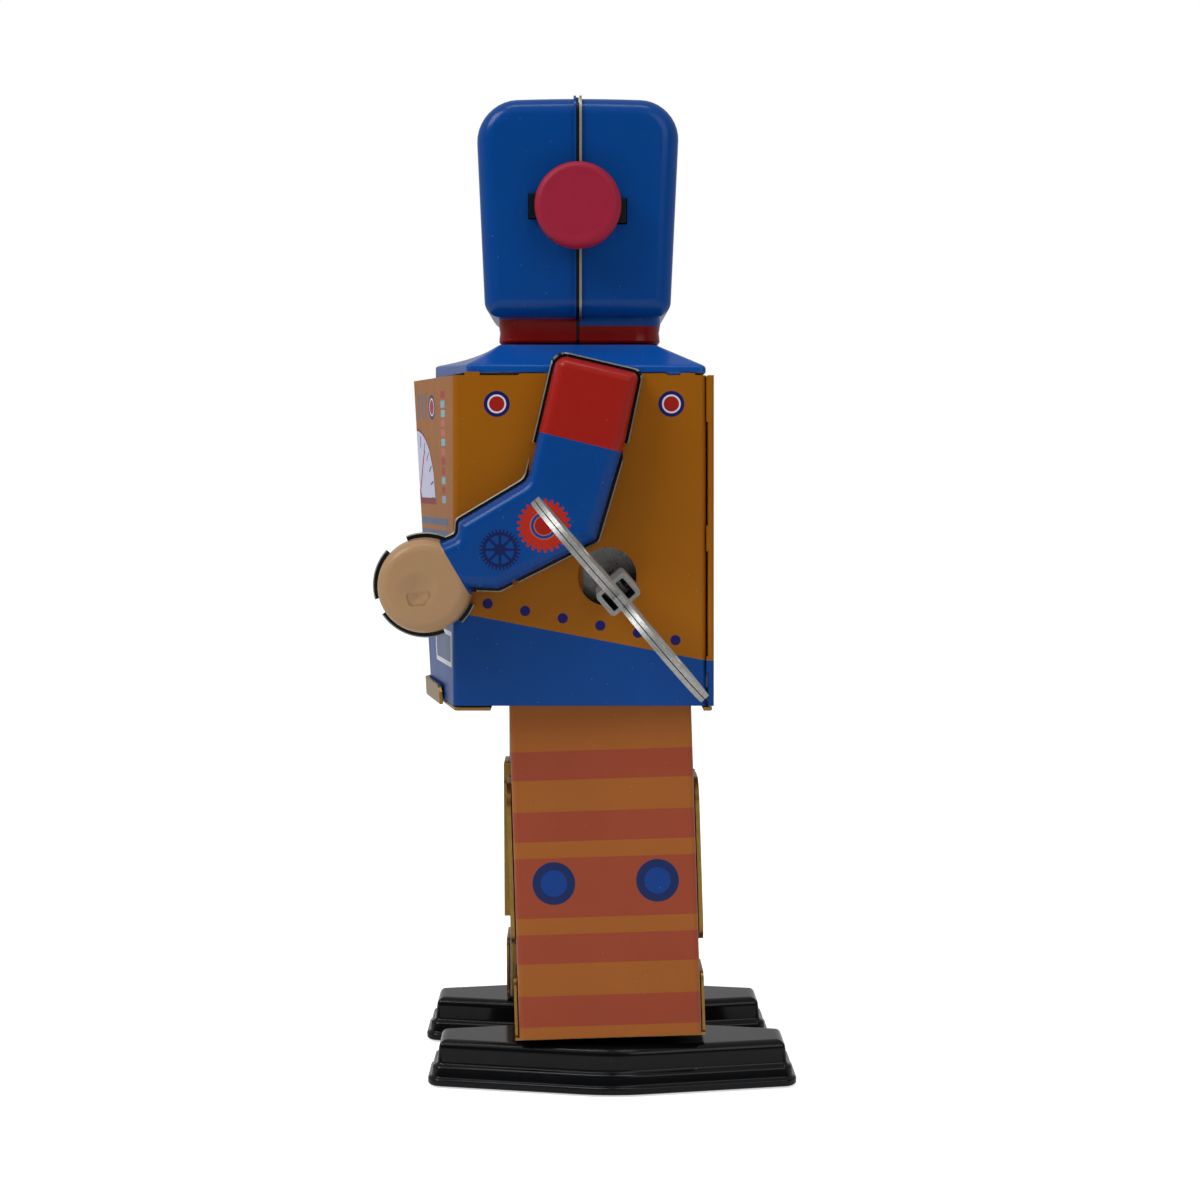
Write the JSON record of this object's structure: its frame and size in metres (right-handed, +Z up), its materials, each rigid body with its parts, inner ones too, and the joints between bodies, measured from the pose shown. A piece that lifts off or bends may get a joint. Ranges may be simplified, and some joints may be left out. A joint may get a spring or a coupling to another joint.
{
  "type": "wind-up walking toy robot",
  "caption": "Tinplate clockwork walking robot with a box head, round ear knobs, swinging arms, hinged legs, flat shoes and a side winding key.",
  "frame": {"origin": "under the middle of the whole object's box, at the level of the soles", "axes": "+Z up, the robot faces -Y, its left side with the winding key is +X"},
  "size_m": [0.1152, 0.0828, 0.197],
  "materials": {
    "printed_blue": "glossy litho lacquer",
    "printed_mustard": "glossy litho lacquer",
    "printed_orange": "glossy litho lacquer",
    "black_lacquer": "high gloss",
    "gold_lacquer": "clear gold lacquer over tinplate",
    "crimson_plastic": "satin",
    "black_plastic": "satin",
    "tinplate": "bare tinplate",
    "galvanised_steel": "mottled zinc",
    "spring_steel": "blued",
    "brass": "stamped"
  },
  "bodies": {
    "torso": {"head_front_shell": "printed_blue", "head_rear_shell": "printed_blue", "ear_bar": "black_plastic", "ear_knob_left": "crimson_plastic", "ear_knob_right": "crimson_plastic", "body_shell": "printed_mustard", "back_cover": "printed_mustard", "shoulder_cover": "printed_blue", "bottom_plate": "gold_lacquer", "motor_plate_left": "tinplate", "motor_plate_right": "tinplate", "motor_pillar_front_top": "tinplate", "motor_pillar_back_top": "tinplate", "motor_pillar_back_bottom": "tinplate", "motor_pillar_front_bottom": "tinplate", "mainspring": "spring_steel", "hip_pin_left": "tinplate", "hip_pin_right": "tinplate"},
    "great_wheel_body": {"great_wheel": "brass"},
    "winding_body": {"winding_arbor": "tinplate", "ratchet_wheel": "spring_steel", "winding_key": "galvanised_steel"},
    "click_body": {"click": "spring_steel"},
    "second_body": {"second_arbor": "tinplate", "second_wheel": "brass"},
    "crank_body": {"crank_arbor": "tinplate", "crank_wheel": "brass", "crank_left": "tinplate", "crank_right": "tinplate"},
    "escape_body": {"escape_arbor": "tinplate", "escape_wheel": "brass"},
    "verge_body": {"verge": "spring_steel"},
    "arm_left": {"arm_left_shell": "printed_blue", "arm_left_plate": "tinplate", "shoulder_pin_left": "tinplate"},
    "leg_left": {"leg_left_shell": "printed_orange", "leg_left_hanger": "tinplate", "leg_left_inner_cover": "gold_lacquer", "ankle_left_bracket": "gold_lacquer", "foot_left_shell": "black_lacquer", "foot_left_sole": "black_lacquer"},
    "arm_right": {"arm_right_shell": "printed_blue", "arm_right_plate": "tinplate", "shoulder_pin_right": "tinplate"},
    "leg_right": {"leg_right_shell": "printed_orange", "leg_right_hanger": "tinplate", "leg_right_inner_cover": "gold_lacquer", "ankle_right_bracket": "gold_lacquer", "foot_right_shell": "black_lacquer", "foot_right_sole": "black_lacquer"}
  },
  "joints": [
    {"name": "train_turn", "type": "hinge", "parent": "torso", "child": "great_wheel_body", "pos_m": [-0.0203, 0.00543, 0.0995], "axis": [1, 0, 0], "continuous": true},
    {"name": "winding_turn", "type": "hinge", "parent": "great_wheel_body", "child": "winding_body", "pos_m": [-0.0203, 0.00543, 0.0995], "axis": [1, 0, 0], "continuous": true},
    {"name": "click_lift", "type": "hinge", "parent": "great_wheel_body", "child": "click_body", "pos_m": [-0.0214, 0.01362, 0.0995], "axis": [1, 0, 0], "range_deg": [0, 12], "stiffness_Nm_per_rad": 0.0005, "springref_deg": -11.46},
    {"name": "second_turn", "type": "hinge", "parent": "torso", "child": "second_body", "pos_m": [-0.0203, -0.00926, 0.09646], "axis": [1, 0, 0], "continuous": true},
    {"name": "crank_turn", "type": "hinge", "parent": "torso", "child": "crank_body", "pos_m": [-0.0203, -0.00402, 0.085], "axis": [1, 0, 0], "continuous": true},
    {"name": "escape_turn", "type": "hinge", "parent": "torso", "child": "escape_body", "pos_m": [-0.0203, 0.00494, 0.08422], "axis": [1, 0, 0], "continuous": true},
    {"name": "verge_rock", "type": "hinge", "parent": "torso", "child": "verge_body", "pos_m": [-0.0203, 0.0072, 0.09042], "axis": [1, 0, 0], "range_deg": [-5, 5]},
    {"name": "leg_left_swing", "type": "hinge", "parent": "torso", "child": "leg_left", "pos_m": [-0.0203, -0.00462, 0.118], "axis": [1, 0, 0], "range_deg": [-3.75, 2.25]},
    {"name": "leg_right_swing", "type": "hinge", "parent": "torso", "child": "leg_right", "pos_m": [-0.0203, -0.00462, 0.118], "axis": [1, 0, 0], "range_deg": [-2.25, 3.75]},
    {"name": "arm_left_swing", "type": "hinge", "parent": "torso", "child": "arm_left", "pos_m": [-0.0203, 0.00038, 0.1355], "axis": [-1, 0, 0], "range_deg": [-15, 280]},
    {"name": "arm_right_swing", "type": "hinge", "parent": "torso", "child": "arm_right", "pos_m": [-0.0203, 0.00038, 0.1355], "axis": [-1, 0, 0], "continuous": true}
  ],
  "couplings": [
    {"joint": "train_turn", "follows": "crank_turn", "ratio": 0.078125},
    {"joint": "second_turn", "follows": "crank_turn", "ratio": -0.3125},
    {"joint": "escape_turn", "follows": "crank_turn", "ratio": -2.75},
    {"joint": "leg_right_swing", "follows": "leg_left_swing", "ratio": -1}
  ]
}
